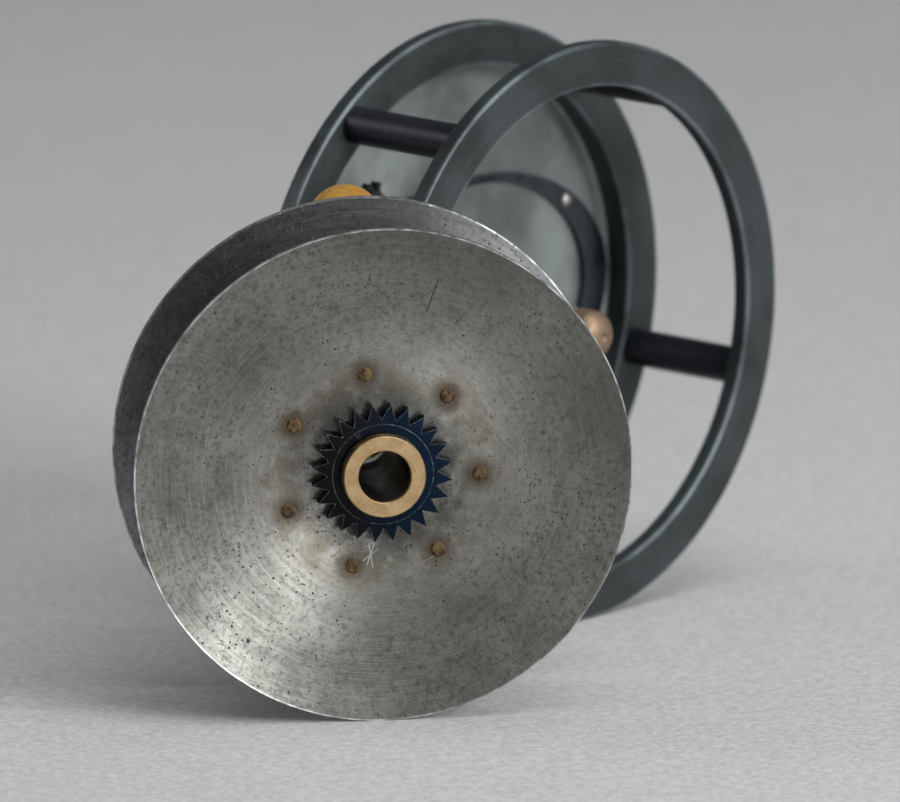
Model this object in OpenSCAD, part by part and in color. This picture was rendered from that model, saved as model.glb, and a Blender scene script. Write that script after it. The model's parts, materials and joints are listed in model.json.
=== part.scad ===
// Centre-pin fly reel, opened: the cage stands on its rims and the spool stands beside it.
// Millimetres. +Z is up. The origin is on the spindle's axis, at the shoulder the spool's bush rests
// on, and the open side of the cage faces -Y.

/* [Cage] */
// Outer radius of the front ring and of the back plate's rim
cage_r = 57.15; // [56:0.05:59]
// Radius of the opening inside the front ring and the rim
opening_r = 48.5; // [48.2:0.1:49.5]
// Axial thickness of the front ring and of the rim
ring_t = 3.6; // [3:0.1:4.2]
// Distance from the rim's front face to the front ring's front face
pillar_span = 30.8; // [29:0.1:33]
// Depth of the recess behind the rim's front face
recess = 6.5; // [6.2:0.1:7]
// Thickness of the back plate's floor
floor_t = 2.4; // [2:0.1:3]
// Radius of a pillar
pillar_r = 3.65; // [3.2:0.05:3.7]
// Radius of the circle the pillars stand on
pillar_circle_r = 52.8; // [52.6:0.1:53]

/* [Spindle] */
// Radius of the spindle's journal
spindle_r = 4.95; // [4.8:0.05:4.95]
// How far the spindle's tip stands in front of the front ring
spindle_proud = 5; // [4.8:0.1:6]

/* [Check] */
// Number of teeth on the ratchet wheel
tooth_count = 24; // [20:1:28]
// Radius over the ratchet's tooth tips
ratchet_r = 13.5; // [13.2:0.1:13.8]
// Depth of a ratchet tooth
tooth_depth = 2.9; // [2.5:0.1:3]
// Thickness of the flat check spring
spring_t = 1.6; // [1.2:0.1:1.6]
// Bearing of each pawl's pivot from the +X side of the spindle, in degrees
pawl_bearing = 131; // [125:1:137]

/* [Spool] */
// Radius of both spool flanges
spool_r = 47.8; // [47:0.1:48]
// Width of the spool over its two rims
spool_w = 31; // [30:0.1:32]
// Depth of the dish in each flange
dish_depth = 4.8; // [4:0.1:5]
// Thickness of the flange metal
flange_t = 1.1; // [0.9:0.1:1.3]
// Outer radius of the arbor the line is wound on
arbor_r = 22.5; // [22:0.1:24]
// Number of rivets through each flange
rivet_count = 7; // [5:1:9]
// Radius of the bush's bore
bush_bore_r = 5; // [5:0.01:5.05]
// Distance from the spool's axis to the handle's axis
handle_r = 38.6; // [37:0.1:39]
// Length of the handle knob
knob_l = 21.5; // [18:0.5:23]
// Largest radius of the handle knob
knob_r = 7.3; // [6.5:0.1:7.4]

/* [Foot] */
// Length of the reel foot along the rod
foot_l = 75; // [66:1:76]
// Width of the reel foot
foot_w = 16; // [14:0.5:18]

/* [Standing spool] */
// Spool's ratchet-side rim centre, along X
spool_x = -87.8; // [-96:0.1:-87]
// Spool's ratchet-side rim centre, along Y
spool_y = -60.3; // [-66:0.1:-60]
// Turn of the spool about the vertical, from facing -Y
spool_yaw = -39.6; // [-42:0.1:-36]

/* [Hidden] */
$fn = 96;
fit = 0.02;                 // gap between fixed parts that touch
run = 0.05;                 // gap round a turning journal
thru = 1;                   // how far a cutter passes the face it cuts

// cage, measured along the spindle from the recess floor
seat_z = 3.5;               // shoulder the bush rests on
rim_z = recess;
ring_z = rim_z + pillar_span - ring_t;
front_z = rim_z + pillar_span;
edge_r = 0.6;               // rounding of the ring's and rim's edges
pan_r = 49.3;               // inside of the recess, undercut behind the rim
pan_wall = 2;
pan_corner_r = 2;
pan_fillet_r = 1;
tenon_r = 2.2;
tenon_l = 2.9;              // blind tenon in the rim and in the ring
pillar_count = 5;
first_pillar = 127.2;       // bearing of the first pillar
pillar_step = 360 / pillar_count;
foot_pillar = 1;            // the foot is screwed to the second pillar
foot_bearing = first_pillar + foot_pillar * pillar_step;

// spindle
collar_r = 8;
tip_z = front_z + spindle_proud;
dome_h = 3.4;
groove_r = 4.1;
groove_w = 2.7;
groove_edge = 0.3;
tail_r = 3;                     // part that passes through the plate
tail_l = 5;
dimple_r = 1;
dimple_h = 0.5;
nut_r = 6;
nut_t = 2.2;
nut_slot = 1.2;
nut_slot_depth = 0.8;

// check
in_centre = 8.5;                // the spring's inner edge is an ellipse about this X
in_half = [32.5, 23.3];
out_centre = 11;                // and its outer edge about this one
out_half = [36.5, 24.6];
spring_end = 100;               // angle at which the ellipses give way to straight arms
spring_tip = [-21, 21.5];
tip_w = 1.1;
rivet_at = [35.3, 16.1];
spring_rivet_r = 0.8;
spring_rivet_head_r = 1.45;
spring_rivet_head_h = 0.85;
pawl_r = 23.5;                  // pivot's distance from the spindle
post_r = 1.8;
post_base_r = 3;
post_head_h = 0.7;
post_tenon_r = 1.2;
post_cap_r = 2.7;
pawl_gap = 0.1;                 // end play of a pawl on its post
pawl_lift = 0.3;                // gap between the spring's plane and a pawl
pawl_z = spring_t + pawl_lift;
pawl_t = 1.9;
pawl_boss_r = 3.4;
pawl_waist = 3;                 // half width of the lever across its pivot
nose_reach = 11.4;              // pivot to nose tip
nose_w = 3.4;
nose_l = 4;
nose_short = 0.2;               // gap between the nose and the wheel's back plane
tail_reach = 11.4;              // pivot to the fork's root
tail_w = 2.4;
prong_w = 1;
prongs = [[3, 3.5], [-54, 2.9]];    // lean from the pawl's centre line in degrees, and length

// spool, measured inward from the ratchet-side rim
bush_r = 7.9;
bush_proud = 1.5;
bush_edge = 0.2;
bush_short = 0.3;               // the bush ends this far inside the hub
hub_r = 11.5;
spigot_r = 9.7;                 // hub spigot that carries the ratchet wheel
spigot_top = 2.7;
latch_seat = spool_w - 3.8;     // end of the hub under the latch housing
latch_spigot_r = 11;
arbor_wall = 2;
web_t = 3;
boss_top = 1;                   // wheel's face round the bush
ratchet_top = 1.3;              // wheel's face at the teeth
ratchet_t = 2.6;
ratchet_base_inset = 0.3;       // round base under the teeth, inside their roots
ratchet_phase = 8.5;
mark_bearing = 122;             // radial mark cut in the wheel's face
mark_w = 0.4;
rivet_circle_r = 19.1;
rivet_phase = -3.5;
rivet_head_r = 1.45;
rivet_head_t = 0.75;
rivet_proud = 0.3;
rivet_shoulder = [0.75, 0.8];   // where the head's dome bends, as shares of its radius and height
rivet_shank_r = 1;
rivet_end_gap = 0.4;
dish_room = 10;                 // deeper than the dish, for cutters
spool_seat = seat_z + bush_proud;   // where this rim sits in the cage when the reel is together
nose_z = spool_seat + ratchet_top + ratchet_t - nose_short;

// latch
housing_r = 13.5;
housing_t = 4.2;
cover_t = 0.9;
spindle_window_r = 5.3;
slot_w = 13.6;
tab_w = 8;
slot_floor = 1.4;
slot_end = 10.4;
slot_shoulder = 9.6;
latch_play = 0.05;
latch_t = 2.2;
latch_travel = 1.2;
latch_low = 7;
latch_high = 15.5;
latch_screw_r = 0.7;
latch_screw_l = 3;              // thread in the hub
latch_screw_circle = 9.5;
latch_screw_angles = [28, 152, 208, 332];
latch_head_r = 1.5;
latch_head_t = 0.7;
driver_slot = 0.4;
bow_wall = 0.45;
bow_h = 1.2;
bow_lift = 0.5;
bow_gap = 0.1;                  // between the bow and the latch at rest
groove_z = spool_seat + latch_seat + slot_floor + latch_play + (latch_t - groove_w) / 2;

// handle
post_journal_r = 2.5;
post_shank_r = 2.2;
washer_r = 5.6;
washer_top = spool_w + 0.5;
knob_gap = 0.3;
knob_end_recess = 1.6;
knob_end_r = 2.6;
knob_wide_at = 0.8;             // share of its length at which the knob is widest
knob_root_r = 5.3;
knob_root_edge = 0.4;
post_recess_r = 3.9;
post_head_r = 3.5;
post_head_t = 1.1;
post_collar_r = 3.4;
post_collar_t = 0.9;
post_end_gap = 0.1;             // end play of the knob under the post's head

// foot
saddle_low = pillar_circle_r + pillar_r;
saddle_top = 60;
saddle_w = 16;
foot_top = 63;
foot_tip_t = 1;
foot_flat_half = 12;            // half of the part that lies on the saddle
foot_taper_l = 18;              // length over which each end narrows
foot_end_share = 0.42;          // radius of each end, as a share of the width
foot_mid_z = (rim_z + ring_z) / 2;
foot_screw_gap = 5;
foot_screw_r = 1.2;
foot_screw_grip = 0.9;          // how far the thread passes the pillar's centre
foot_head_r = 2.4;
foot_head_t = 1.4;
foot_head_sunk = 0.1;           // screw heads stand this far below the foot's face
foot_slot = 0.6;

// ---- helpers

// points of an arc of radius r about c, from angle a0 to a1
function arc(c, r, a0, a1, steps = 5) =
    [for (i = [0:steps]) c + r * [cos(a0 + (a1 - a0) * i / steps), sin(a0 + (a1 - a0) * i / steps)]];

// outline of a bar lo..hi whose four corners are rounded by r
function rounded_bar(lo, hi, r) = concat(
    arc([hi.x - r, hi.y - r], r, 0, 90),
    arc([lo.x + r, hi.y - r], r, 90, 180),
    arc([lo.x + r, lo.y + r], r, 180, 270),
    arc([hi.x - r, lo.y + r], r, 270, 360));

// depth of a flange's outer face behind its rim, at radius r
function dish(r) = dish_depth * (1 - pow(r / spool_r, 2));

// points down one face of a flange between two radii, offset by t into the metal
function dish_line(r0, r1, t, steps = 12) =
    [for (i = [0:steps]) let (r = r0 + (r1 - r0) * i / steps) [r, -(dish(r) + t)]];

// the same on the handle side
function front_line(r0, r1, t, steps = 12) =
    [for (p = dish_line(r0, r1, t, steps)) [p.x, -spool_w - p.y]];

// cage parts are drawn upward from the recess floor, then stood on their rims
module in_cage() {
    rotate([90, 0, 0]) translate([0, 0, -seat_z]) children();
}

// spool parts are drawn with the ratchet side up, then stood beside the cage
module in_spool() {
    translate([spool_x, spool_y, spool_r - cage_r])
        rotate([0, 0, spool_yaw]) rotate([90, 0, 0]) children();
}

module at_bearing(a, r) {
    rotate([0, 0, a]) translate([r, 0, 0]) children();
}

// a round bar from z0 to z1
module bar(r, z0, z1) {
    translate([0, 0, z0]) cylinder(r = r, h = z1 - z0);
}

module around(count, r, phase) {
    for (i = [0:count - 1]) at_bearing(phase + i * 360 / count, r) children();
}

// ---- cage

module front_ring() {
    color("slategray") in_cage() difference() {
        rotate_extrude() polygon(rounded_bar([opening_r, ring_z], [cage_r, front_z], edge_r));
        around(pillar_count, pillar_circle_r, first_pillar)
            bar(tenon_r + fit, ring_z - thru, ring_z + tenon_l + fit);
    }
}

// one casting: floor, recess wall and rim
module back_plate() {
    rim_back = rim_z - ring_t;
    wall_r = pan_r + pan_wall;
    color("darkslategray") in_cage() difference() {
        rotate_extrude() polygon(concat(
            [[0, -floor_t]],
            arc([wall_r - pan_corner_r, -floor_t + pan_corner_r], pan_corner_r, -90, 0),
            [[wall_r, rim_back]],
            arc([cage_r - edge_r, rim_back + edge_r], edge_r, -90, 0),
            arc([cage_r - edge_r, rim_z - edge_r], edge_r, 0, 90),
            arc([opening_r + edge_r, rim_z - edge_r], edge_r, 90, 180),
            [[opening_r, rim_back], [pan_r, rim_back]],
            arc([pan_r - pan_fillet_r, pan_fillet_r], pan_fillet_r, 0, -90),
            [[0, 0]]));
        around(pillar_count, pillar_circle_r, first_pillar)
            bar(tenon_r + fit, rim_z - tenon_l - fit, rim_z + thru);
        bar(tail_r + fit, -floor_t - thru, thru);
        at_spring_rivets() bar(spring_rivet_r + fit, -floor_t - thru, thru);
        for (s = [-1, 1]) at_bearing(s * pawl_bearing, pawl_r) bar(post_tenon_r + fit, -floor_t - thru, thru);
    }
}

// shouldered pillar between the rim and the ring
module pillar(i) {
    color("midnightblue") in_cage() at_bearing(first_pillar + i * pillar_step, pillar_circle_r) difference() {
        union() {
            bar(pillar_r, rim_z, ring_z);
            bar(tenon_r, rim_z - tenon_l, ring_z + tenon_l);
        }
        if (i == foot_pillar) foot_screw_holes();
    }
}

// shouldered post with a groove for the latch and a domed tip
module spindle() {
    dome_z = tip_z - dome_h;
    color("peru") in_cage() rotate_extrude() polygon(concat(
        [[0, -tail_l], [tail_r, -tail_l], [tail_r, 0], [collar_r, 0]],
        [[collar_r, seat_z], [spindle_r, seat_z], [spindle_r, groove_z]],
        [[groove_r, groove_z + groove_edge], [groove_r, groove_z + groove_w - groove_edge]],
        [[spindle_r, groove_z + groove_w]],
        [for (a = [0:15:75]) [dimple_r + (spindle_r - dimple_r) * cos(a), dome_z + dome_h * sin(a)]],
        [[dimple_r, tip_z], [dimple_r / 2, tip_z - dimple_h], [0, tip_z - dimple_h]]));
}

// slotted round nut that holds the spindle from outside
module spindle_nut() {
    nut_low = -floor_t - nut_t;
    color("peru") in_cage() difference() {
        bar(nut_r, nut_low, -floor_t);
        bar(tail_r + fit, nut_low - thru, 0);
        translate([-nut_r - thru, -nut_slot / 2, nut_low - thru])
            cube([2 * (nut_r + thru), nut_slot, nut_slot_depth + thru]);
    }
}

// ---- check

module at_spring_rivets() {
    for (s = [-1, 1]) translate([rivet_at.x, s * rivet_at.y, 0]) children();
}

// points of an ellipse about [cx, 0], from angle -a to a
function ellipse_line(cx, half, a, steps = 40) =
    [for (i = [-steps:2:steps]) [cx + half.x * cos(a * i / steps), half.y * sin(a * i / steps)]];

function reversed(line) = [for (i = [len(line) - 1:-1:0]) line[i]];

// flat horseshoe, broad at its closed end, whose arms press on the pawls' tails
module check_spring() {
    color("#39455a") in_cage() difference() {
        linear_extrude(spring_t) polygon(concat(
            ellipse_line(out_centre, out_half, spring_end),
            [spring_tip + [0, tip_w], spring_tip],
            reversed(ellipse_line(in_centre, in_half, spring_end)),
            [[spring_tip.x, -spring_tip.y], [spring_tip.x, -spring_tip.y - tip_w]]));
        at_spring_rivets() bar(spring_rivet_r + fit, -thru, spring_t + thru);
    }
}

module check_spring_rivets() {
    r = spring_rivet_head_r;
    color("silver") in_cage() at_spring_rivets() {
        bar(spring_rivet_r, -floor_t, spring_t);
        rotate_extrude() polygon(concat([[0, spring_t]],
            [for (a = [0:15:90]) [r * cos(a), spring_t + spring_rivet_head_h * sin(a)]]));
    }
}

module pawl_posts() {
    pawl_top = pawl_z + pawl_t + pawl_gap;
    color("silver") in_cage() for (s = [-1, 1]) at_bearing(s * pawl_bearing, pawl_r) {
        bar(post_tenon_r, -floor_t, 0);
        bar(post_base_r, 0, pawl_z - pawl_gap);
        bar(post_r, 0, pawl_top);
        bar(post_cap_r, pawl_top, pawl_top + post_head_h);
    }
}

// lever with a raised wedge nose towards the ratchet and a forked tail
module pawl() {
    nose_back = -nose_reach + nose_l;
    difference() {
        union() {
            bar(pawl_boss_r, pawl_z, pawl_z + pawl_t);
            translate([0, 0, pawl_z]) linear_extrude(pawl_t) polygon([[0, -pawl_waist],
                [tail_reach, -tail_w / 2], [tail_reach, tail_w / 2], [0, pawl_waist],
                [nose_back, nose_w / 2], [nose_back, -nose_w / 2]]);
            for (p = prongs) translate([tail_reach - prong_w / 2, 0, pawl_z]) rotate([0, 0, p[0]])
                translate([0, -prong_w / 2, 0]) cube([p[1], prong_w, pawl_t]);
            translate([0, 0, pawl_z]) linear_extrude(nose_z - pawl_z)
                polygon([[nose_back, nose_w / 2], [-nose_reach, 0], [nose_back, -nose_w / 2]]);
        }
        bar(post_r + run, pawl_z - thru, pawl_z + pawl_t + thru);
    }
}

module upper_pawl() {
    color("dimgray") in_cage() at_bearing(pawl_bearing, pawl_r) pawl();
}

module lower_pawl() {
    color("dimgray") in_cage() mirror([0, 1, 0]) at_bearing(pawl_bearing, pawl_r) pawl();
}

// ---- foot, drawn along the reel's radius at the foot's bearing

// x is radial, y runs along the rod, z along the spindle
module in_foot() {
    in_cage() rotate([0, 0, foot_bearing]) children();
}

module at_foot_screws() {
    for (s = [-1, 1]) translate([0, 0, foot_mid_z + s * foot_screw_gap]) rotate([0, 90, 0]) children();
}

// drawn from the pillar's centre
module foot_screw_holes() {
    at_foot_screws() bar(foot_screw_r + fit, -foot_screw_grip - fit, pillar_r + thru);
}

module foot_saddle() {
    color("tan") in_foot() difference() {
        translate([saddle_low, -saddle_w / 2, rim_z])
            cube([saddle_top - saddle_low, saddle_w, ring_z - rim_z]);
        at_foot_screws() bar(foot_screw_r + fit, saddle_low - thru, saddle_top + thru);
    }
}

// outline of the foot seen from outside: parallel middle, tapered to round ends
module foot_outline() {
    w = foot_w / 2;
    end_r = foot_w * foot_end_share;
    end_y = foot_l / 2 - end_r;
    mid = foot_l / 2 - foot_taper_l;
    polygon([[-w, -mid], [-end_r, -end_y], [end_r, -end_y], [w, -mid],
        [w, mid], [end_r, end_y], [-end_r, end_y], [-w, mid]]);
    for (s = [-1, 1]) translate([0, s * end_y]) circle(end_r);
}

module reel_foot() {
    half = foot_l / 2;
    tip = foot_top - foot_tip_t;
    color("tan") in_foot() difference() {
        intersection() {
            translate([0, 0, foot_mid_z - foot_w / 2]) linear_extrude(foot_w) polygon([
                [foot_top, -half], [foot_top, half], [tip, half], [saddle_top, foot_flat_half],
                [saddle_top, -foot_flat_half], [tip, -half]]);
            translate([saddle_top - thru, 0, foot_mid_z]) rotate([0, 90, 0])
                linear_extrude(foot_top - saddle_top + 2 * thru) foot_outline();
        }
        at_foot_screws() {
            bar(foot_screw_r + fit, saddle_top - thru, foot_top + thru);
            bar(foot_head_r + fit, foot_top - foot_head_t, foot_top + thru);
        }
    }
}

module foot_screws() {
    head_low = foot_top - foot_head_t + fit;
    head_top = foot_top - foot_head_sunk;
    color("silver") in_foot() at_foot_screws() difference() {
        union() {
            bar(foot_screw_r, pillar_circle_r - foot_screw_grip, head_low);
            bar(foot_head_r, head_low, head_top);
        }
        translate([-foot_head_r, -foot_slot / 2, head_top - foot_slot])
            cube([2 * foot_head_r, foot_slot, foot_slot + thru]);
    }
}

// ---- spool

module bush() {
    back = -(latch_seat - bush_short);
    e = bush_edge;
    color("darkgoldenrod") in_spool() rotate_extrude() polygon([
        [bush_bore_r, back], [bush_r, back], [bush_r, bush_proud - e], [bush_r - e, bush_proud],
        [bush_bore_r + e, bush_proud], [bush_bore_r, bush_proud - e]]);
}

module at_rivets() {
    around(rivet_count, rivet_circle_r, rivet_phase) children();
}

module rear_flange() {
    inner = spigot_r + fit;
    color("darkgray") in_spool() difference() {
        rotate_extrude() polygon(concat(
            dish_line(inner, spool_r, 0), dish_line(spool_r, inner, flange_t)));
        at_rivets() bar(rivet_head_r + fit, -dish_room, thru);
    }
}

module front_flange() {
    inner = latch_spigot_r + fit;
    color("gray") in_spool() difference() {
        rotate_extrude() polygon(concat(
            front_line(inner, spool_r, 0), front_line(spool_r, inner, flange_t)));
        at_rivets() bar(rivet_head_r + fit, -spool_w - thru, -spool_w + dish_room);
        at_bearing(90, handle_r) bar(post_shank_r + fit, -spool_w - thru, -spool_w + dish_room);
    }
}

// bored hub with a web at each end, which the flanges are riveted to
module hub() {
    web_r = arbor_r - arbor_wall;
    rear_web = -(dish(web_r) + flange_t + web_t);
    front_web = -spool_w - rear_web;
    bore = bush_r + run;
    color("lightgray") in_spool() difference() {
        rotate_extrude() polygon(concat(
            [[bore, -spigot_top], [spigot_r, -spigot_top]],
            dish_line(spigot_r, web_r, flange_t + fit),
            [[web_r, rear_web], [hub_r, rear_web], [hub_r, front_web], [web_r, front_web]],
            front_line(web_r, latch_spigot_r, flange_t + fit),
            [[latch_spigot_r, -latch_seat], [bore, -latch_seat]]));
        at_rivets() {
            bar(rivet_shank_r + fit, rear_web - thru, 0);
            bar(rivet_shank_r + fit, -spool_w, front_web + thru);
        }
        at_latch_screws() bar(latch_screw_r + fit, -latch_seat - thru, -latch_seat + latch_screw_l + fit);
    }
}

module arbor() {
    web_r = arbor_r - arbor_wall + fit;
    gap = flange_t + fit;
    color("gray") in_spool() rotate_extrude() polygon(concat(
        dish_line(web_r, arbor_r, gap, 1), front_line(arbor_r, web_r, gap, 1)));
}

// toothed wheel seated on the hub's spigot, with a flat boss round the bush
module ratchet_wheel() {
    root = ratchet_r - tooth_depth;
    step = 360 / tooth_count;
    base_r = root - ratchet_base_inset;
    back = -ratchet_top - ratchet_t;
    color("#22324a") in_spool() difference() {
        union() {
            translate([0, 0, back]) linear_extrude(ratchet_t) rotate(ratchet_phase) polygon(
                [for (i = [0:2 * tooth_count - 1]) let (r = i % 2 == 0 ? ratchet_r : root)
                    r * [cos(i * step / 2), sin(i * step / 2)]]);
            bar(base_r, -dish(base_r) + fit, back + thru);
            bar(spigot_r, back, -boss_top);
        }
        bar(bush_r + run, -dish_room, thru);
        bar(spigot_r + fit, -dish_room, -spigot_top + fit);
        rotate([0, 0, mark_bearing]) translate([bush_r, -mark_w / 2, -ratchet_top])
            cube([spigot_r - bush_r, mark_w, thru]);
    }
}

// domed rivet through a flange into the hub's web, drawn on the ratchet side
module flange_rivet() {
    face = -dish(rivet_circle_r);
    head_low = face - rivet_head_t;
    bar(rivet_shank_r, face - flange_t - web_t + rivet_end_gap, head_low);
    rotate_extrude() polygon([[0, head_low], [rivet_head_r, head_low], [rivet_head_r, face],
        [rivet_head_r * rivet_shoulder[0], face + rivet_proud * rivet_shoulder[1]], [0, face + rivet_proud]]);
}

module rear_rivets() {
    color("sienna") in_spool() at_rivets() flange_rivet();
}

module front_rivets() {
    color("sienna") in_spool() at_rivets() translate([0, 0, -spool_w]) mirror([0, 0, 1]) flange_rivet();
}

// ---- latch, on the handle side

// latch parts are drawn upward from the end of the hub
module in_latch() {
    in_spool() translate([0, 0, -latch_seat]) rotate([0, 180, 0]) children();
}

module at_latch_screws() {
    for (a = latch_screw_angles) at_bearing(a, latch_screw_circle) children();
}

module latch_housing() {
    color("burlywood") in_latch() difference() {
        bar(housing_r, 0, housing_t);
        bar(spindle_window_r, -thru, housing_t + thru);
        translate([-slot_w / 2, -slot_end, slot_floor]) cube([slot_w, slot_end + slot_shoulder, housing_t]);
        translate([-tab_w / 2, 0, slot_floor]) cube([tab_w, housing_r, housing_t]);
        at_latch_screws() bar(latch_screw_r + fit, -thru, housing_t + thru);
    }
}

module latch_cover() {
    top = housing_t + cover_t;
    color("burlywood") in_latch() difference() {
        bar(housing_r, housing_t, top);
        bar(spindle_window_r, housing_t - thru, top + thru);
        at_latch_screws() bar(latch_screw_r + fit, housing_t - thru, top + thru);
    }
}

module latch_screws() {
    top = housing_t + cover_t;
    color("silver") in_latch() at_latch_screws() difference() {
        union() {
            bar(latch_screw_r, -latch_screw_l, top);
            bar(latch_head_r, top, top + latch_head_t);
        }
        translate([-latch_head_r, -driver_slot / 2, top + latch_head_t - driver_slot])
            cube([2 * latch_head_r, driver_slot, driver_slot + thru]);
    }
}

// sliding plate whose window edge drops into the spindle's groove; its tab is pressed to free the spool
module latch() {
    low = slot_floor + latch_play;
    w = slot_w - 2 * latch_play;
    tab_r = tab_w / 2 - latch_play;
    color("silver") in_latch() difference() {
        union() {
            translate([-w / 2, -latch_low, low]) cube([w, latch_low + slot_shoulder - latch_play, latch_t]);
            translate([-tab_r, 0, low]) cube([2 * tab_r, latch_high - tab_r, latch_t]);
            translate([0, latch_high - tab_r, low]) bar(tab_r, 0, latch_t);
        }
        translate([0, latch_travel, 0]) bar(spindle_window_r, low - thru, low + latch_t + thru);
    }
}

// half-round bow between the housing's end wall and the latch
module latch_spring() {
    bow_r = slot_end - latch_low - bow_gap;
    color("dimgray") in_latch() translate([0, fit - slot_end, slot_floor + bow_lift]) linear_extrude(bow_h)
        difference() {
            circle(bow_r);
            circle(bow_r - bow_wall);
            translate([-2 * bow_r, -2 * bow_r]) square([4 * bow_r, 2 * bow_r]);
        }
}

// ---- handle

module at_handle() {
    at_bearing(90, handle_r) children();
}

// everything inside the handle-side flange's outer face
module behind_front_flange() {
    rotate_extrude() polygon(concat([[0, 0], [spool_r, 0]], front_line(spool_r, 0, -fit)));
}

module handle_washer() {
    color("goldenrod") in_spool() difference() {
        at_handle() bar(washer_r, -washer_top, -spool_w + dish_depth);
        behind_front_flange();
        at_handle() bar(post_shank_r + fit, -washer_top - thru, 0);
    }
}

// stepped post: collar inside the flange, journal for the knob, head in the knob's end
module handle_post() {
    head_low = -(washer_top + knob_gap + knob_l - knob_end_recess + post_end_gap);
    collar_low = -spool_w + dish(handle_r - post_collar_r) + flange_t + fit;
    color("silver") in_spool() at_handle() {
        bar(post_shank_r, -washer_top, collar_low + post_collar_t);
        bar(post_collar_r, collar_low, collar_low + post_collar_t);
        bar(post_journal_r, head_low, -washer_top);
        bar(post_head_r, head_low - post_head_t, head_low);
    }
}

// barrel that swells towards its domed outer end
module handle_knob() {
    bore = post_journal_r + run;
    steps = 8;
    color("orange") in_spool() at_handle() translate([0, 0, -washer_top - knob_gap]) mirror([0, 0, 1])
        rotate_extrude() polygon(concat(
            [[bore, 0], [knob_root_r - knob_root_edge, 0], [knob_root_r, knob_root_edge]],
            [for (i = [1:steps]) [knob_root_r + (knob_r - knob_root_r) * sin(90 * i / steps),
                knob_wide_at * knob_l * i / steps]],
            arc([knob_r - knob_end_r, knob_l - knob_end_r], knob_end_r, 10, 90, 6),
            [[post_recess_r, knob_l], [post_recess_r, knob_l - knob_end_recess]],
            [[bore, knob_l - knob_end_recess]]));
}

front_ring();
back_plate();
pillar(0);  // pillar_1
pillar(1);  // pillar_2
pillar(2);  // pillar_3
pillar(3);  // pillar_4
pillar(4);  // pillar_5
spindle();
spindle_nut();
check_spring();
check_spring_rivets();
pawl_posts();
upper_pawl();
lower_pawl();
foot_saddle();
reel_foot();
foot_screws();
bush();
rear_flange();
front_flange();
hub();
arbor();
ratchet_wheel();
rear_rivets();
front_rivets();
latch_housing();
latch_cover();
latch_screws();
latch();
latch_spring();
handle_washer();
handle_post();
handle_knob();
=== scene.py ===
"""Looks for the opened centre-pin fly reel: finishes, light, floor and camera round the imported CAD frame."""
import json
import math

import bpy
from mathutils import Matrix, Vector


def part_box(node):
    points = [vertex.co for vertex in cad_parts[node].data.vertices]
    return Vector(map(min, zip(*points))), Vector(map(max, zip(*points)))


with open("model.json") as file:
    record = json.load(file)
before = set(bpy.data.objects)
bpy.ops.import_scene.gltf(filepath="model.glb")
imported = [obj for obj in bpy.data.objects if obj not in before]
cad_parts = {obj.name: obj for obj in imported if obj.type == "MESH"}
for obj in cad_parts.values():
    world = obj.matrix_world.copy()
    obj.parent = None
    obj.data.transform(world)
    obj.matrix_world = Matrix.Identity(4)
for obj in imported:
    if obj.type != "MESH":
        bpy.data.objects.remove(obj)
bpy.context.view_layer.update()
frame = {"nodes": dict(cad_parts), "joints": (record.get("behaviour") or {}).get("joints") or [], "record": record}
nodes = frame["nodes"]
joints = {joint["name"]: joint for joint in frame["joints"]}
mounts = {mount["name"]: mount for mount in frame["record"]["mounts"]}
MM = 0.001
UP = Vector((0, 0, 1))


# ---- sizes and places, from the frame

# the two axes that the surfaces were turned about
spool_axis = Vector(joints["spool_spin"]["axis"]).normalized()
spool_centre = Vector(joints["spool_spin"]["pos_m"])
spool_right = UP.cross(spool_axis)
cage_axis = Vector(mounts["spindle"]["axis"]).normalized()
cage_centre = Vector((0, 0, 0))

# radii and depths on the cage
floor_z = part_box("front_ring")[0].z
cage_r = -floor_z
RING_WIDTH = 8.65 * MM
opening_r = cage_r - RING_WIDTH
ring_front = -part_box("front_ring")[0].y
rim_front = -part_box("back_plate")[0].y
RECESS_DEPTH = -3.5 * MM        # the recess's floor, along the spindle

# radii on the spool's face
spool_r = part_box("rear_flange")[1].z - spool_centre.z
bore_r = mounts["spool_bore"]["dims"]["r_mm"] * MM
RIVET_COUNT = 7
RIVET_PHASE = math.radians(-3.5)
RIVET_CIRCLE_R = 19.1 * MM
RIVET_R = 1.45 * MM


# ---- fades over the surfaces: each starts at the first distance and ends at the second

GRIME_AND_SHADE_FADE = (13 * MM, 20.5 * MM)       # grime and painted shade, out from the wheel
FILM_FADE = (2 * MM, 6 * MM)            # thin rust, off the rivets' circle
HALO_FADE = (RIVET_R * 0.9, RIVET_R * 2.8)  # rust stain, off each rivet
PAINTED_LIGHT_FADE = (21 * MM, 33 * MM)        # painted light, lighter round the hub, fading out past the rivets
PAINTED_SHADE_FADE = (12 * MM, 42 * MM)         # painted shade, darkening towards the upper right rim
RIM_WEAR_AND_HIGHLIGHT_FADE = (spool_r - 0.4 * MM, spool_r - 0.15 * MM)    # bright worn rim, with a painted highlight
BORE_SHADE_FADE = (bore_r + 0.02 * MM, bore_r + 0.12 * MM)    # painted shade in the bush's bore
CAGE_FADE = (16 * MM, 22 * MM)          # from the spool's bronze and steel to the cage's
CORNER_WEAR_AND_HIGHLIGHT_FADE = (0.35 * MM, 1.0 * MM)     # wear and painted highlight, off a turned corner of the cage
FLOOR_FADE = (0.1 * MM, 1.2 * MM)       # rubbed metal, off the recess's floor
RECESS_PAINTED_LIGHT_FADE = (22 * MM, 38 * MM)        # painted light on the recess's floor, lighter away from the spindle
CARD_FADE = (1.0, 2.2)                  # from the card to the bench under it


# ---- shader building

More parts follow.
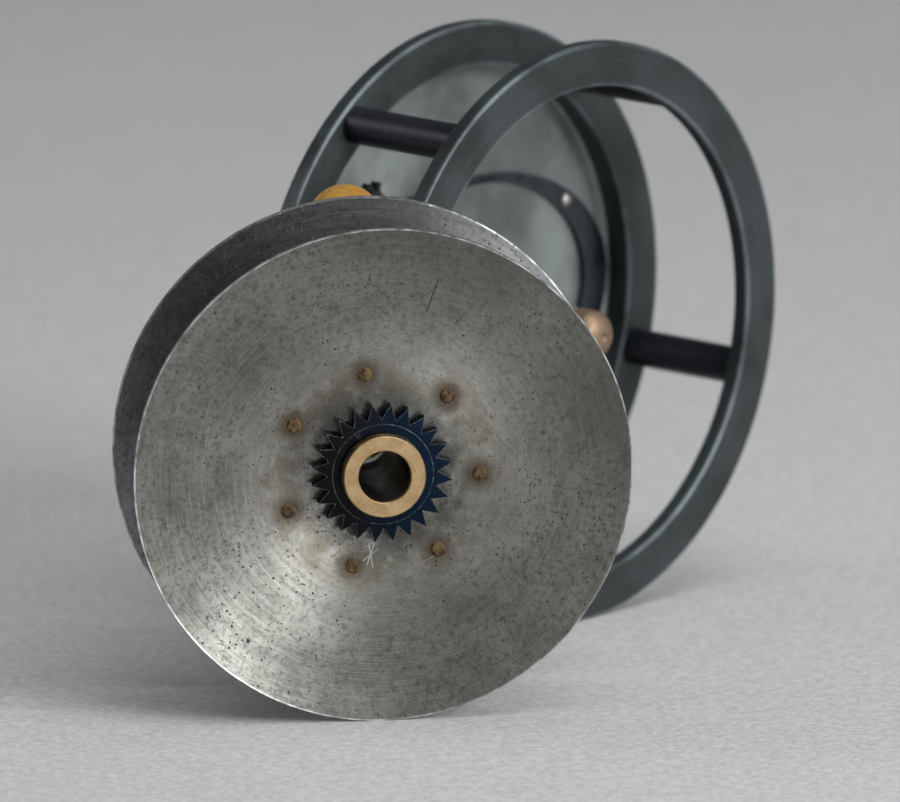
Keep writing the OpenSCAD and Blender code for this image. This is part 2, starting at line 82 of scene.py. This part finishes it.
# noise patterns: repeats per metre, octaves, roughness
CLOUD = (55, 5, 0.62)
BLOTCH = (160, 5, 0.68)
PATCH = (300, 4, 0.6)
DIRT = (600, 4, 0.7)
GRAIN = (900, 5, 0.75)
FINE_GRAIN = (1600, 4, 0.7)

# pits: cells per metre, share of cells that hold one, largest size in a cell
LARGE_PITS = (520, 0.2, 0.14)
FINE_PITS = (1500, 0.4, 0.36)

# lathe strokes: rings per millimetre, and how often they change round the circle
FINE_STROKES = (3.0, 4.5)
COARSE_STROKES = (1.1, 2.5)


def shade(colour, factor):
    return tuple(min(1, channel * factor) for channel in colour)


def grey(value, warm=0.0):
    """Linear colour of an sRGB-like grey level 0..255, shifted to warm by a few percent."""
    level = (value / 255) ** 2.2
    return (level * (1 + warm), level, level * (1 - warm))


class Shader:
    """A material under construction; each method adds nodes and returns their output socket."""

    def __init__(self, name):
        self.material = bpy.data.materials.new(name)
        self.material.use_nodes = True
        self.tree = self.material.node_tree
        self.tree.nodes.clear()
        self.out = self.tree.nodes.new("ShaderNodeOutputMaterial")
        self.coords = self.tree.nodes.new("ShaderNodeTexCoord").outputs["Object"]

    def node(self, kind, inputs=None, **settings):
        made = self.tree.nodes.new("ShaderNode" + kind)
        for key, value in settings.items():
            setattr(made, key, value)
        for key, value in (inputs or {}).items():
            self.feed(made.inputs[key], value)
        return made

    def feed(self, socket, value):
        if isinstance(value, bpy.types.NodeSocket):
            self.tree.links.new(value, socket)
        elif value is not None:
            if hasattr(socket.default_value, "__len__") and len(socket.default_value) == 4:
                value = (*value, 1) if len(value) == 3 else value
            socket.default_value = value

    def math(self, operation, a, b=0.0, c=0.0, clamp=False):
        return self.node("Math", {0: a, 1: b, 2: c}, operation=operation, use_clamp=clamp).outputs[0]

    def vector(self, operation, a, b=(0, 0, 0), output=0):
        return self.node("VectorMath", {0: a, 1: b}, operation=operation).outputs[output]

    def dot(self, a, b):
        return self.vector("DOT_PRODUCT", a, b, output=1)

    def length(self, a):
        return self.vector("LENGTH", a, output=1)

    def scale(self, a, factor):
        return self.node("VectorMath", {0: a, "Scale": factor}, operation="SCALE").outputs[0]

    def join(self, x, y, z=0.0):
        return self.node("CombineXYZ", {0: x, 1: y, 2: z}).outputs[0]

    def noise(self, pattern, at=None, distortion=0.0):
        """Cloudy pattern over the piece, or over the place given."""
        scale, detail, rough = pattern
        inputs = {"Vector": self.coords if at is None else at, "Scale": scale, "Detail": detail,
                  "Roughness": rough, "Distortion": distortion}
        return self.node("TexNoise", inputs).outputs["Fac"]

    def drawn(self, stretch, at=None, distortion=0.0):
        """Noise with its own number of repeats per metre along x, y and z, for marks drawn one way."""
        placed = self.vector("MULTIPLY", self.coords if at is None else at, stretch)
        return self.noise((1, 4, 0.6), placed, distortion)

    def ramp(self, value, low, high, to_low=0.0, to_high=1.0):
        """Smooth step of value from low..high to to_low..to_high."""
        inputs = {"Value": value, "From Min": low, "From Max": high, "To Min": to_low, "To Max": to_high}
        return self.node("MapRange", inputs, interpolation_type="SMOOTHSTEP").outputs["Result"]

    def mix(self, share, a, b):
        made = self.node("Mix", data_type="RGBA")
        self.feed(made.inputs[0], share)
        self.feed(made.inputs[6], a)
        self.feed(made.inputs[7], b)
        return made.outputs[2]

    def blend(self, share, a, b):
        return self.node("Mix", {0: share, 2: a, 3: b}, data_type="FLOAT").outputs[0]

    def bump(self, height, strength, distance_mm):
        inputs = {"Height": height, "Strength": strength, "Distance": distance_mm * MM}
        return self.node("Bump", inputs).outputs[0]

    def edge_wear(self, radius_mm, low=0.02, high=0.25):
        """Near 1 on outer edges, where a bevelled normal parts from the true one."""
        soft = self.node("Bevel", {"Radius": radius_mm * MM}, samples=6).outputs[0]
        true = self.node("NewGeometry").outputs["Normal"]
        return self.ramp(self.math("SUBTRACT", 1.0, self.dot(soft, true)), low, high)

    def turned(self, centre, axis):
        """Radius, radial direction, brushing tangent and depth of a surface turned about an axis."""
        out = self.vector("SUBTRACT", self.coords, tuple(centre))
        along = self.dot(out, tuple(axis))
        radial = self.vector("SUBTRACT", out, self.scale(tuple(axis), along))
        direction = self.vector("NORMALIZE", radial)
        tangent = self.node("VectorTransform", {0: direction}, vector_type="VECTOR",
                            convert_from="OBJECT", convert_to="WORLD").outputs[0]
        return self.length(radial), direction, tangent, along

    def strokes(self, radius, direction, along, kind):
        """Fine rings, as a lathe tool or emery leaves them: close in radius, long round the circle."""
        per_mm, changes = kind
        slant = (1, 0.37, 0.71)
        rings = self.math("MULTIPLY", self.math("ADD", radius, along), per_mm / MM)
        at = self.vector("ADD", self.scale(direction, changes), self.scale(slant, rings))
        return self.noise((1, 3, 0.6), at)

    def across_face(self):
        """Position across the spool's face: right and up of its centre, in metres."""
        out = self.vector("SUBTRACT", self.coords, tuple(spool_centre))
        return self.dot(out, tuple(spool_right)), self.dot(out, tuple(UP))

    def off_line(self, x, y, start, end):
        """Distance from the line start..end (mm), for a single scratch."""
        run = ((end[0] - start[0]) * MM, (end[1] - start[1]) * MM)
        from_start = (self.math("SUBTRACT", x, start[0] * MM), self.math("SUBTRACT", y, start[1] * MM))
        reach = self.math("MULTIPLY_ADD", from_start[0], run[0], self.math("MULTIPLY", from_start[1], run[1]))
        share = self.math("DIVIDE", reach, math.hypot(*run) ** 2, clamp=True)
        off = [self.math("MULTIPLY_ADD", share, -part, place) for part, place in zip(run, from_start)]
        return self.length(self.join(*off))

    def off_rivet(self, x, y, radius):
        """Distance from the nearest flange rivet."""
        step = math.tau / RIVET_COUNT
        turn = self.math("SUBTRACT", self.math("ARCTAN2", y, x), RIVET_PHASE)
        steps = self.math("DIVIDE", turn, step)
        folded = self.math("MULTIPLY", self.math("SUBTRACT", steps, self.math("ROUND", steps)), step)
        across = self.math("MULTIPLY", self.math("SINE", folded), radius)
        out = self.math("MULTIPLY", self.math("COSINE", folded), radius)
        return self.length(self.join(across, self.math("SUBTRACT", out, RIVET_CIRCLE_R)))

    def pits(self, per_metre, share, size):
        """Scattered round pits: only some cells of the pattern hold one, each of its own size."""
        cells = self.node("TexVoronoi", {"Vector": self.coords, "Scale": per_metre})
        parts = self.node("SeparateColor", {0: cells.outputs["Color"]})
        chosen = self.math("LESS_THAN", parts.outputs[0], share)
        reach = self.math("MULTIPLY", self.math("MULTIPLY", parts.outputs[1], size), chosen)
        return self.ramp(self.math("SUBTRACT", reach, cells.outputs["Distance"]), -0.02, 0.05)

    def corner(self, radius, along, corner_r, corner_at):
        """1 on a turned corner at that radius and depth, fading to 0 a millimetre off it."""
        off = self.join(self.math("SUBTRACT", radius, corner_r), self.math("SUBTRACT", along, corner_at))
        return self.ramp(self.length(off), *CORNER_WEAR_AND_HIGHLIGHT_FADE, 1, 0)

    def finish(self, **inputs):
        shader = self.node("BsdfPrincipled")
        names = {"color": "Base Color", "metal": "Metallic", "rough": "Roughness", "normal": "Normal",
                 "anisotropic": "Anisotropic", "tangent": "Tangent", "coat": "Coat Weight",
                 "coat_rough": "Coat Roughness", "specular": "Specular IOR Level",
                 "subsurface": "Subsurface Weight", "subsurface_radius": "Subsurface Radius",
                 "subsurface_scale": "Subsurface Scale"}
        for key, value in inputs.items():
            self.feed(shader.inputs[names[key]], value)
        self.tree.links.new(shader.outputs[0], self.out.inputs["Surface"])
        return self.material


# ---- finishes

BRIGHT_EDGE = (0.7, 0.71, 0.72)
PIT_BLACK = (0.015, 0.013, 0.01)
# grime with painted shade, round the wheel's base
GRIME_AND_SHADE = (0.045, 0.043, 0.04)
RUST_FILM = (0.13, 0.11, 0.068)
RUST_STAIN = (0.06, 0.037, 0.015)
DARK_SCRATCH = (0.03, 0.03, 0.027)
LIGHT_SCRATCH = (0.6, 0.6, 0.58)

# single scratches on the ratchet-side face: start and end right and up of the axis in mm, width, colour
SCRATCHES = [
    ((10.6, 37.1), (8.6, 31), 0.16, DARK_SCRATCH),
    ((-1.2, -14), (-2.6, -18.2), 0.12, LIGHT_SCRATCH),
    ((-0.4, -15.2), (-3.4, -17.4), 0.1, LIGHT_SCRATCH),
    ((-2.2, -14.4), (-1.5, -18.8), 0.09, LIGHT_SCRATCH),
    ((6, -19), (12.5, -15.8), 0.06, LIGHT_SCRATCH),
]


def spool_face(name, light, dark, dull, scratches=()):
    """Turned alloy gone grey: concentric strokes, oxide grain, pits, and rust bled from the rivets."""
    s = Shader(name)
    radius, direction, tangent, along = s.turned(spool_centre, spool_axis)
    x, y = s.across_face()
    fine = s.strokes(radius, direction, along, FINE_STROKES)
    coarse = s.strokes(radius, direction, along, COARSE_STROKES)
    cloud = s.noise(CLOUD)
    blotch = s.noise(BLOTCH)
    grain = s.noise(GRAIN)

    tone = s.mix(s.ramp(cloud, 0.32, 0.68), dark, light)
    tone = s.mix(s.ramp(blotch, 0.42, 0.68, 0, 0.4), tone, shade(dark, 0.6))
    tone = s.mix(s.ramp(fine, 0.42, 0.7, 0, 0.32), tone, shade(light, 1.5))
    tone = s.mix(s.ramp(grain, 0.46, 0.66, 0, 0.6), tone, shade(dark, 0.45))

    # painted shade, darker towards the upper right rim, and painted light, lighter round the hub and fading out
    # past the rivets
    diagonal = s.math("MULTIPLY", s.math("ADD", x, y), math.sqrt(0.5))
    diagonal = s.math("ADD", diagonal, s.ramp(cloud, 0.3, 0.7, -4 * MM, 4 * MM))
    tone = s.mix(s.ramp(diagonal, *PAINTED_SHADE_FADE, 0, 0.62), tone, shade(dark, 0.35))
    tone = s.mix(s.ramp(radius, *PAINTED_LIGHT_FADE, 0.2, 0), tone, shade(light, 1.9))

    # rust round each rivet, a thin film of it along their circle, and grime with painted shade round the wheel
    off = s.math("ADD", s.off_rivet(x, y, radius), s.ramp(blotch, 0.3, 0.7, -0.9 * MM, 0.9 * MM))
    halo = s.ramp(off, *HALO_FADE, 0.9, 0)
    off_circle = s.math("ABSOLUTE", s.math("SUBTRACT", radius, RIVET_CIRCLE_R))
    on_circle = s.ramp(off_circle, *FILM_FADE, 0.6, 0)
    film = s.math("MULTIPLY", on_circle, s.ramp(blotch, 0.36, 0.62))
    near_wheel = s.ramp(radius, *GRIME_AND_SHADE_FADE, 0.75, 0)
    grime_and_shade = s.math("MULTIPLY", near_wheel, s.ramp(blotch, 0.3, 0.55, 0.25, 1))
    tone = s.mix(film, tone, RUST_FILM)
    tone = s.mix(halo, tone, RUST_STAIN)
    tone = s.mix(grime_and_shade, tone, GRIME_AND_SHADE)

    # pits: large ones, fine ones in clusters, and ragged specks between them
    dense = s.ramp(cloud, 0.4, 0.62, 0.3, 1.0)
    specks = s.math("MULTIPLY", s.ramp(s.noise(DIRT), 0.64, 0.7, 0, 0.8), dense)
    spots = s.math("MAXIMUM", s.pits(*LARGE_PITS), specks)
    spots = s.math("MAXIMUM", spots, s.math("MULTIPLY", s.pits(*FINE_PITS), dense))
    tone = s.mix(s.math("MULTIPLY", spots, 0.95), tone, PIT_BLACK)

    height = s.math("MULTIPLY_ADD", fine, 0.35, s.math("MULTIPLY", grain, 0.7))
    height = s.math("MULTIPLY_ADD", coarse, 0.4, height)
    height = s.math("MULTIPLY_ADD", spots, -1.6, height)
    for start, end, width, colour in scratches:
        mark = s.ramp(s.off_line(x, y, start, end), 0.3 * width * MM, width * MM, 0.8, 0)
        tone = s.mix(mark, tone, colour)
        height = s.math("MULTIPLY_ADD", mark, -1.9, height)

    # the rim and other outer edges are worn bright, in patches, and the rim also carries a painted highlight
    rim = s.ramp(radius, *RIM_WEAR_AND_HIGHLIGHT_FADE)
    worn = s.math("MULTIPLY", s.math("MAXIMUM", rim, s.edge_wear(0.2)), s.math("SUBTRACT", 1.0, halo))
    worn = s.math("MULTIPLY", worn, s.ramp(s.noise(PATCH), 0.35, 0.65, 0.1, 0.8))
    tone = s.mix(worn, tone, BRIGHT_EDGE)
    rough = s.blend(spots, s.ramp(coarse, 0.3, 0.7, dull, dull + 0.1), 0.85)
    rough = s.blend(worn, s.math("MAXIMUM", rough, s.math("MULTIPLY", halo, 0.7)), 0.34)
    metal = s.math("SUBTRACT", 0.92, s.math("MAXIMUM", s.math("MULTIPLY", spots, 0.8), halo), clamp=True)
    return s.finish(color=tone, metal=metal, rough=rough, anisotropic=0.75, tangent=tangent,
                    normal=s.bump(height, 0.5, 0.035))


def leaded(name, base, worn_tone, gloss, rubbed=None):
    """Dark leaded finish over alloy: cloudy, worn light on the edges, with a painted highlight on the turned
    corners, and, if told, rubbed in the recess, with painted light across its floor.
    """
    s = Shader(name)
    radius, direction, tangent, along = s.turned(cage_centre, cage_axis)
    fine = s.strokes(radius, direction, along, FINE_STROKES)
    cloud = s.noise(CLOUD)
    grain = s.noise(FINE_GRAIN)
    tone = s.mix(s.ramp(cloud, 0.3, 0.7), shade(base, 0.7), shade(base, 1.35))
    anisotropic = 0.3
    if rubbed:
        # the recess's floor: cloudy, with painted light making it darker near the spindle and lighter away from it
        off_floor = s.math("ABSOLUTE", s.math("SUBTRACT", along, RECESS_DEPTH))
        floor = s.ramp(off_floor, *FLOOR_FADE, 1, 0)
        bare = s.mix(s.ramp(cloud, 0.36, 0.6), shade(rubbed, 0.65), rubbed)
        bare = s.scale(bare, s.ramp(radius, *RECESS_PAINTED_LIGHT_FADE, 0.8, 1.45))
        tone = s.mix(floor, tone, bare)
        anisotropic = s.math("MULTIPLY_ADD", floor, 0.4, 0.3)
    tone = s.mix(s.ramp(fine, 0.45, 0.75, 0, 0.06), tone, worn_tone)

    # edges worn light, and the turned corners of the ring and the rim worn light with a painted highlight
    edges = s.edge_wear(0.6, 0.01, 0.16)
    for corner_r in (opening_r, cage_r):
        for front in (ring_front, rim_front):
            edges = s.math("MAXIMUM", edges, s.corner(radius, along, corner_r, front))
    wear = s.math("MULTIPLY", edges, s.ramp(cloud, 0.36, 0.62, 0.1, 0.6))
    wear = s.math("MAXIMUM", wear, s.ramp(s.noise(DIRT), 0.64, 0.7, 0, 0.28))
    tone = s.mix(s.math("MULTIPLY", wear, 0.85), tone, worn_tone)
    dullness = s.math("MULTIPLY_ADD", cloud, 0.6, s.math("MULTIPLY", grain, 0.4))
    height = s.math("MULTIPLY_ADD", grain, 0.8, s.math("MULTIPLY", fine, 0.3))
    return s.finish(color=tone, metal=0.55, rough=s.ramp(dullness, 0.3, 0.7, gloss, gloss + 0.16),
                    normal=s.bump(height, 0.3, 0.025), anisotropic=anisotropic, tangent=tangent)


def bronze():
    """Old bronze: turned rings and brown film; painted shade, near black, inside the bush; browner on the spindle.
    """
    s = Shader("bronze")
    radius, direction, _, along = s.turned(spool_centre, spool_axis)
    film = s.noise(PATCH)
    rings = s.strokes(radius, direction, along, FINE_STROKES)
    dirt = s.ramp(s.noise(DIRT), 0.6, 0.75)
    tone = s.mix(s.ramp(film, 0.35, 0.7), (0.34, 0.225, 0.11), (0.5, 0.36, 0.19))
    tone = s.mix(s.ramp(rings, 0.4, 0.7, 0, 0.35), tone, (0.64, 0.48, 0.29))
    tone = s.mix(s.math("MULTIPLY", dirt, 0.6), tone, (0.18, 0.1, 0.06))
    # painted shade: the wall of the bush's bore near black and less metallic
    inside = s.math("MULTIPLY", s.ramp(radius, *BORE_SHADE_FADE, 1, 0),
                    s.ramp(along, 0, 1.2 * MM, 1, 0))
    tone = s.mix(inside, tone, (0.025, 0.012, 0.009))
    on_cage = s.ramp(radius, *CAGE_FADE)
    tone = s.mix(s.math("MULTIPLY", on_cage, 0.75), tone, (0.3, 0.22, 0.17))
    rough = s.math("MULTIPLY_ADD", on_cage, 0.12, s.ramp(film, 0.3, 0.7, 0.42, 0.56))
    return s.finish(color=tone, metal=s.math("MULTIPLY_ADD", inside, -0.5, 1.0), rough=rough,
                    normal=s.bump(s.math("ADD", rings, dirt), 0.25, 0.02))


def brass():
    """Old yellow brass with a brown patina in patches."""
    s = Shader("brass")
    patina = s.noise(BLOTCH)
    tone = s.mix(s.ramp(patina, 0.35, 0.7), (0.36, 0.26, 0.12), (0.62, 0.48, 0.24))
    tone = s.mix(s.edge_wear(0.3), tone, (0.8, 0.66, 0.38))
    return s.finish(color=tone, metal=1.0, rough=s.ramp(patina, 0.3, 0.7, 0.28, 0.5),
                    normal=s.bump(s.drawn((3000, 500, 3000)), 0.1, 0.015))


def blued_steel():
    """Hardened steel: the wheel runs from brown black to deep blue, with painted light making its right side bluer
    and lighter, and the spring in the cage is greyer.
    """
    s = Shader("blued_steel")
    radius = s.turned(spool_centre, spool_axis)[0]
    right = s.across_face()[0]
    cloud = s.noise(BLOTCH)
    grain = s.noise(FINE_GRAIN)
    # painted light: the wheel bluer and lighter towards the right, the lit side
    wheel = s.mix(s.ramp(right, -9 * MM, 6 * MM), (0.006, 0.0055, 0.006), (0.003, 0.009, 0.02))
    spring = s.mix(s.ramp(cloud, 0.3, 0.7), (0.045, 0.053, 0.064), (0.08, 0.094, 0.115))
    tone = s.mix(s.ramp(radius, *CAGE_FADE), wheel, spring)
    worn = s.math("MULTIPLY", s.edge_wear(0.24, 0.03, 0.3), s.ramp(grain, 0.38, 0.62, 0.07, 0.7))
    tone = s.mix(worn, tone, (0.42, 0.44, 0.47))
    return s.finish(color=tone, metal=0.85, rough=s.ramp(cloud, 0.3, 0.7, 0.2, 0.36), specular=0.2,
                    normal=s.bump(grain, 0.4, 0.025))


def pawl_steel():
    """Dark filed steel."""
    s = Shader("pawl_steel")
    cloud = s.noise(PATCH)
    tone = s.mix(s.ramp(cloud, 0.3, 0.7), (0.02, 0.024, 0.028), (0.06, 0.064, 0.072))
    tone = s.mix(s.math("MULTIPLY", s.edge_wear(0.12), 0.4), tone, (0.3, 0.3, 0.3))
    return s.finish(color=tone, metal=0.85, rough=s.ramp(cloud, 0.3, 0.7, 0.35, 0.55),
                    normal=s.bump(s.drawn((5000, 900, 900)), 0.2, 0.015))


def steel(name, low, high, rough):
    """Plain steel with fine wear and spots of tarnish."""
    s = Shader(name)
    cloud = s.noise(PATCH)
    tone = s.mix(s.ramp(cloud, 0.3, 0.7), low, high)
    tone = s.mix(s.ramp(s.noise(GRAIN), 0.6, 0.72, 0, 0.6), tone, (0.1, 0.07, 0.045))
    return s.finish(color=tone, metal=1.0, rough=s.ramp(cloud, 0.3, 0.7, rough, rough + 0.18),
                    normal=s.bump(s.drawn((4000, 4000, 1200)), 0.12, 0.012))


def rusty_rivet():
    """Small iron rivet heads browned with rust."""
    s = Shader("rusty_rivet")
    crust = s.noise(GRAIN)
    tone = s.mix(s.ramp(crust, 0.38, 0.62), (0.02, 0.012, 0.006), (0.19, 0.115, 0.04))
    tone = s.mix(s.ramp(s.noise(DIRT), 0.6, 0.72), tone, (0.26, 0.2, 0.11))
    return s.finish(color=tone, metal=0.35, rough=s.ramp(crust, 0.3, 0.7, 0.5, 0.85),
                    normal=s.bump(crust, 0.6, 0.08))


def ivorine():
    """Amber knob material: faint flow lines, slight depth, handled gloss."""
    s = Shader("ivorine")
    out = s.vector("SUBTRACT", s.coords, tuple(joints["knob_spin"]["pos_m"]))
    flow = s.drawn((260, 260, 90), out, 1.2)
    scuffs = s.noise(FINE_GRAIN)
    tone = s.mix(s.ramp(flow, 0.3, 0.7), (0.5, 0.24, 0.025), (0.74, 0.42, 0.07))
    tone = s.mix(s.ramp(s.noise(DIRT), 0.62, 0.75, 0, 0.5), tone, (0.3, 0.15, 0.04))
    return s.finish(color=tone, metal=0.0, rough=s.ramp(scuffs, 0.35, 0.65, 0.26, 0.4), subsurface=0.25,
                    subsurface_radius=(1.0, 0.5, 0.15), subsurface_scale=2.5 * MM, coat=0.25,
                    coat_rough=0.2, normal=s.bump(scuffs, 0.08, 0.02))


LEADED_TONE = (0.046, 0.056, 0.058)
LEADED_WORN = (0.28, 0.34, 0.36)
LEADED_GLOSS = 0.36
RUBBED = (0.27, 0.305, 0.295)

FINISHES = {
    "leaded_alloy": leaded("leaded_alloy", LEADED_TONE, LEADED_WORN, LEADED_GLOSS),
    "leaded_plate": leaded("leaded_plate", LEADED_TONE, LEADED_WORN, LEADED_GLOSS, RUBBED),
    "pillar_finish": leaded("pillar_finish", (0.02, 0.021, 0.03), (0.16, 0.17, 0.22), 0.26),
    "bronze": bronze(),
    "blued_steel": blued_steel(),
    "pawl_steel": pawl_steel(),
    "brass": brass(),
    "steel": steel("steel", (0.42, 0.42, 0.4), (0.62, 0.61, 0.57), 0.3),
    "spring_steel": steel("spring_steel", (0.16, 0.16, 0.17), (0.3, 0.3, 0.32), 0.3),
    "spool_alloy": spool_face("spool_alloy", (0.25, 0.248, 0.228), (0.143, 0.141, 0.128), 0.31, SCRATCHES),
    "spool_alloy_dark": spool_face("spool_alloy_dark", (0.3, 0.305, 0.31), (0.18, 0.186, 0.196), 0.38),
    "rusty_rivet": rusty_rivet(),
    "ivorine": ivorine(),
}
SMOOTH_ANGLE = math.radians(28)


def dress(piece, slot):
    """Give a piece its finish and smooth its curved faces."""
    piece.data.materials.clear()
    piece.data.materials.append(FINISHES[slot])
    for face in piece.data.polygons:
        face.use_smooth = True
    piece.data.set_sharp_from_angle(angle=SMOOTH_ANGLE)


for part in frame["record"]["subparts"]:
    dress(nodes[part["node"]], part["material_slot"])


# ---- floor, light and camera

FLOOR_HALF = 30.0
CARD_DARK = grey(180, -0.003)
CARD_LIGHT = grey(216, 0.008)
BENCH = grey(95)


def paper():
    """Mottled pale grey card, laid on a darker bench."""
    s = Shader("paper")
    fibre = s.noise(FINE_GRAIN)
    share = s.math("MULTIPLY_ADD", s.noise(DIRT), 0.6, s.math("MULTIPLY", fibre, 0.4))
    tone = s.mix(s.ramp(share, 0.3, 0.7), CARD_DARK, CARD_LIGHT)
    tone = s.mix(s.ramp(s.length(s.coords), *CARD_FADE), tone, BENCH)
    return s.finish(color=tone, metal=0.0, rough=0.85, specular=0.0, normal=s.bump(fibre, 0.2, 0.02))


def add_floor():
    corners = [(x * FLOOR_HALF, y * FLOOR_HALF, floor_z) for x, y in ((-1, -1), (1, -1), (1, 1), (-1, 1))]
    mesh = bpy.data.meshes.new("floor")
    mesh.from_pydata(corners, [], [(0, 1, 2, 3)])
    mesh.materials.append(paper())
    floor = bpy.data.objects.new("floor", mesh)
    bpy.context.scene.collection.objects.link(floor)


def direction(azimuth, elevation):
    """Unit vector from the object towards a viewer at that angle; azimuth 0 stands on the -Y side."""
    a, e = math.radians(azimuth), math.radians(elevation)
    return Vector((math.sin(a) * math.cos(e), -math.cos(a) * math.cos(e), math.sin(e)))


def place(thing, about, azimuth, elevation, distance):
    """Put a lamp or camera at that angle and distance, looking back at the point."""
    toward = direction(azimuth, elevation)
    thing.location = about + toward * distance
    thing.rotation_mode = "QUATERNION"
    thing.rotation_quaternion = toward.to_track_quat("Z", "Y")
    bpy.context.scene.collection.objects.link(thing)


def softbox(name, azimuth, elevation, distance, size, watts, about=Vector((0, 0, 0))):
    lamp = bpy.data.lights.new(name, "AREA")
    lamp.shape = "RECTANGLE"
    lamp.size, lamp.size_y = size
    lamp.energy = watts
    box = bpy.data.objects.new(name, lamp)
    box.visible_camera = False
    place(box, about, azimuth, elevation, distance)
    return box


CAMERA_AZIMUTH = -48.33
CAMERA_ELEVATION = 12.5
CAMERA_DISTANCE = 3.485
AIM = Vector((-0.0622, -0.0543, 0))
SENSOR_MM = 36
LENS_MM = 730.8
F_STOP = 23
SKY_TINT = (0.92, 0.96, 1.0, 1)
SKY_STRENGTH = 0.12


def add_camera():
    data = bpy.data.cameras.new("camera")
    data.sensor_width = SENSOR_MM
    data.lens = LENS_MM
    data.clip_start = 0.1
    focus = bpy.data.objects.new("focus", None)
    focus.location = spool_centre
    bpy.context.scene.collection.objects.link(focus)
    data.dof.use_dof = True
    data.dof.focus_object = focus
    data.dof.aperture_fstop = F_STOP
    camera = bpy.data.objects.new("camera", data)
    place(camera, AIM, CAMERA_AZIMUTH, CAMERA_ELEVATION, CAMERA_DISTANCE)
    bpy.context.scene.camera = camera


def add_light():
    world = bpy.data.worlds.new("studio")
    bpy.context.scene.world = world
    world.use_nodes = True
    sky = world.node_tree.nodes["Background"]
    sky.inputs["Color"].default_value = SKY_TINT
    sky.inputs["Strength"].default_value = SKY_STRENGTH
    softbox("key", azimuth=4, elevation=22, distance=1.5, size=(0.75, 0.6), watts=15)
    softbox("low", azimuth=-19, elevation=4, distance=1.6, size=(0.3, 0.18), watts=1.8)
    softbox("top", azimuth=CAMERA_AZIMUTH + 50, elevation=72, distance=1.5, size=(1.2, 1.2), watts=12)
    softbox("left", azimuth=CAMERA_AZIMUTH - 95, elevation=22, distance=1.8, size=(0.5, 1.0), watts=5)
    # a small lamp seen only in reflections, for the fan at the turned face's upper right
    glint = softbox("glint", azimuth=-24.7, elevation=-6.2, distance=0.3, size=(0.06, 0.02), watts=0.048,
                    about=spool_centre)
    glint.visible_diffuse = False


add_floor()
add_light()
add_camera()
bpy.context.scene.view_settings.view_transform = "Standard"
